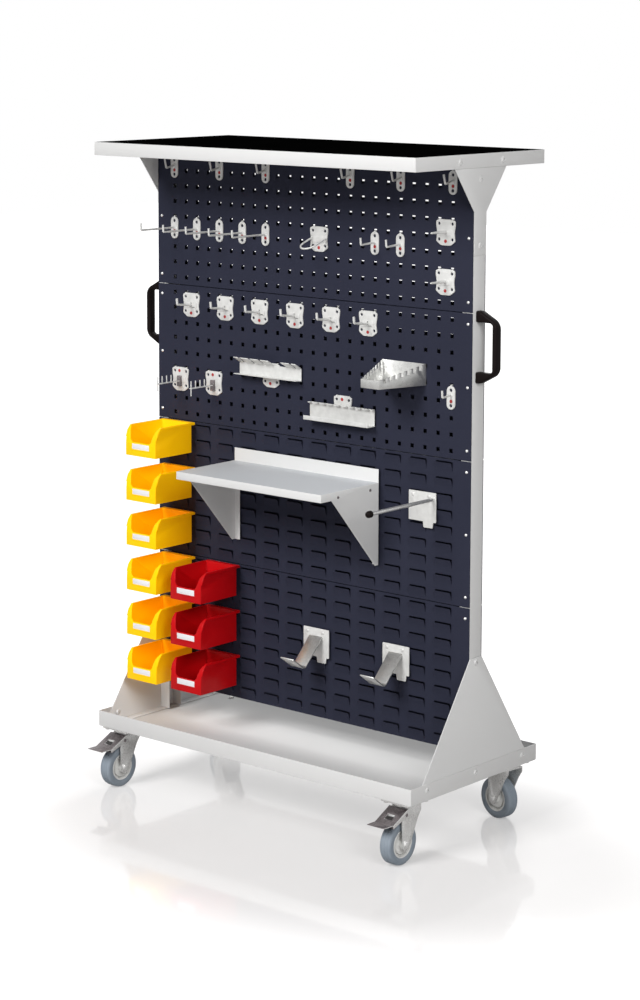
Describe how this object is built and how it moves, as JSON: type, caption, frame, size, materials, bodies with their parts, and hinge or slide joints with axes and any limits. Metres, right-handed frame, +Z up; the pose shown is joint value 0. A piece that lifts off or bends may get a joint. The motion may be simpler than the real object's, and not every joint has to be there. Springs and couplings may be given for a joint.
{
  "type": "mobile tool panel trolley",
  "caption": "Mobile workshop trolley with perforated and louvred tool panels between two posts, hung bins, hooks, racks and a shelf, a tray base on castors and a matted top.",
  "frame": {"origin": "on the floor, under the middle of the bounding box", "axes": "+Z up, the dressed side faces -Y, +X to the right of someone who faces it"},
  "size_m": [1.1046, 0.5476, 1.6113],
  "materials": {
    "light_grey_powder_coat": "satin powder coat",
    "red_plastic": "moulded, semi-gloss",
    "yellow_plastic": "moulded, semi-gloss",
    "zinc_plate": "bright zinc plate",
    "black_plastic": "fine moulded grain",
    "anthracite_powder_coat": "fine satin powder coat",
    "dark_plated_steel": "dark plated",
    "black_rubber": "ribbed, matt",
    "grey_rubber": "matt"
  },
  "bodies": {
    "trolley": {"base_tray": "light_grey_powder_coat", "foot_plate_left": "light_grey_powder_coat", "foot_plate_right": "light_grey_powder_coat", "handle_left": "black_plastic", "handle_right": "black_plastic", "head_plate_left": "light_grey_powder_coat", "head_plate_right": "light_grey_powder_coat", "long_hook_1": "zinc_plate", "long_hook_2": "zinc_plate", "long_hook_3": "zinc_plate", "long_hook_4": "zinc_plate", "long_hook_5": "zinc_plate", "loop_hook": "zinc_plate", "panel_front_1": "anthracite_powder_coat", "panel_front_2": "anthracite_powder_coat", "panel_front_3": "anthracite_powder_coat", "panel_front_4": "anthracite_powder_coat", "panel_rear_1": "anthracite_powder_coat", "panel_rear_2": "anthracite_powder_coat", "panel_rear_3": "anthracite_powder_coat", "panel_rear_4": "anthracite_powder_coat", "post_left": "light_grey_powder_coat", "post_right": "light_grey_powder_coat", "prong_holder_1": "zinc_plate", "prong_holder_2": "zinc_plate", "rod_holder": "zinc_plate", "shelf": "light_grey_powder_coat", "short_hook": "zinc_plate", "spanner_rack": "zinc_plate", "table_top": "light_grey_powder_coat", "tool_rail_1": "zinc_plate", "tool_rail_2": "zinc_plate", "top_mat": "black_rubber", "v_holder_1": "zinc_plate", "v_holder_2": "zinc_plate", "wide_hook_1": "zinc_plate", "wide_hook_2": "zinc_plate", "wide_hook_3": "zinc_plate", "wide_hook_4": "zinc_plate", "wide_hook_5": "zinc_plate", "wide_hook_6": "zinc_plate"},
    "swivel_fl": {"fork_fl": "zinc_plate"},
    "roller_fl": {"wheel_fl": "grey_rubber"},
    "brake_fl": {"pedal_fl": "dark_plated_steel"},
    "swivel_fr": {"fork_fr": "zinc_plate"},
    "roller_fr": {"wheel_fr": "grey_rubber"},
    "brake_fr": {"pedal_fr": "dark_plated_steel"},
    "swivel_rl": {"fork_rl": "zinc_plate"},
    "roller_rl": {"wheel_rl": "grey_rubber"},
    "swivel_rr": {"fork_rr": "zinc_plate"},
    "roller_rr": {"wheel_rr": "grey_rubber"},
    "bin_red_1": {"bin_red_1": "red_plastic"},
    "bin_red_2": {"bin_red_2": "red_plastic"},
    "bin_red_3": {"bin_red_3": "red_plastic"},
    "bin_yellow_1": {"bin_yellow_1": "yellow_plastic"},
    "bin_yellow_2": {"bin_yellow_2": "yellow_plastic"},
    "bin_yellow_3": {"bin_yellow_3": "yellow_plastic"},
    "bin_yellow_4": {"bin_yellow_4": "yellow_plastic"},
    "bin_yellow_5": {"bin_yellow_5": "yellow_plastic"},
    "bin_yellow_6": {"bin_yellow_6": "yellow_plastic"}
  },
  "joints": [
    {"name": "swivel_turn_fl", "type": "hinge", "parent": "trolley", "child": "swivel_fl", "pos_m": [-0.449, -0.16475, 0.147], "axis": [0, 0, 1], "continuous": true},
    {"name": "wheel_spin_fl", "type": "hinge", "parent": "swivel_fl", "child": "roller_fl", "pos_m": [-0.449, -0.19275, 0.05], "axis": [1, 0, 0], "continuous": true},
    {"name": "pedal_press_fl", "type": "hinge", "parent": "swivel_fl", "child": "brake_fl", "pos_m": [-0.449, -0.19475, 0.12], "axis": [1, 0, 0], "range_deg": [0, 12]},
    {"name": "swivel_turn_fr", "type": "hinge", "parent": "trolley", "child": "swivel_fr", "pos_m": [0.449, -0.16475, 0.147], "axis": [0, 0, 1], "continuous": true},
    {"name": "wheel_spin_fr", "type": "hinge", "parent": "swivel_fr", "child": "roller_fr", "pos_m": [0.449, -0.19275, 0.05], "axis": [1, 0, 0], "continuous": true},
    {"name": "pedal_press_fr", "type": "hinge", "parent": "swivel_fr", "child": "brake_fr", "pos_m": [0.449, -0.19475, 0.12], "axis": [1, 0, 0], "range_deg": [0, 12]},
    {"name": "swivel_turn_rl", "type": "hinge", "parent": "trolley", "child": "swivel_rl", "pos_m": [-0.449, 0.22725, 0.147], "axis": [0, 0, 1], "continuous": true},
    {"name": "wheel_spin_rl", "type": "hinge", "parent": "swivel_rl", "child": "roller_rl", "pos_m": [-0.47657, 0.23211, 0.05], "axis": [-0.1736, -0.9848, 0], "continuous": true},
    {"name": "swivel_turn_rr", "type": "hinge", "parent": "trolley", "child": "swivel_rr", "pos_m": [0.449, 0.22725, 0.147], "axis": [0, 0, 1], "continuous": true},
    {"name": "wheel_spin_rr", "type": "hinge", "parent": "swivel_rr", "child": "roller_rr", "pos_m": [0.42143, 0.23211, 0.05], "axis": [-0.1736, -0.9848, 0], "continuous": true},
    {"name": "lift_bin_red_1", "type": "slide", "parent": "trolley", "child": "bin_red_1", "axis": [0, 0, 1], "range_m": [0, 0.012]},
    {"name": "lift_bin_red_2", "type": "slide", "parent": "trolley", "child": "bin_red_2", "axis": [0, 0, 1], "range_m": [0, 0.012]},
    {"name": "lift_bin_red_3", "type": "slide", "parent": "trolley", "child": "bin_red_3", "axis": [0, 0, 1], "range_m": [0, 0.012]},
    {"name": "lift_bin_yellow_1", "type": "slide", "parent": "trolley", "child": "bin_yellow_1", "axis": [0, 0, 1], "range_m": [0, 0.012]},
    {"name": "lift_bin_yellow_2", "type": "slide", "parent": "trolley", "child": "bin_yellow_2", "axis": [0, 0, 1], "range_m": [0, 0.012]},
    {"name": "lift_bin_yellow_3", "type": "slide", "parent": "trolley", "child": "bin_yellow_3", "axis": [0, 0, 1], "range_m": [0, 0.012]},
    {"name": "lift_bin_yellow_4", "type": "slide", "parent": "trolley", "child": "bin_yellow_4", "axis": [0, 0, 1], "range_m": [0, 0.012]},
    {"name": "lift_bin_yellow_5", "type": "slide", "parent": "trolley", "child": "bin_yellow_5", "axis": [0, 0, 1], "range_m": [0, 0.012]},
    {"name": "lift_bin_yellow_6", "type": "slide", "parent": "trolley", "child": "bin_yellow_6", "axis": [0, 0, 1], "range_m": [0, 0.012]}
  ]
}
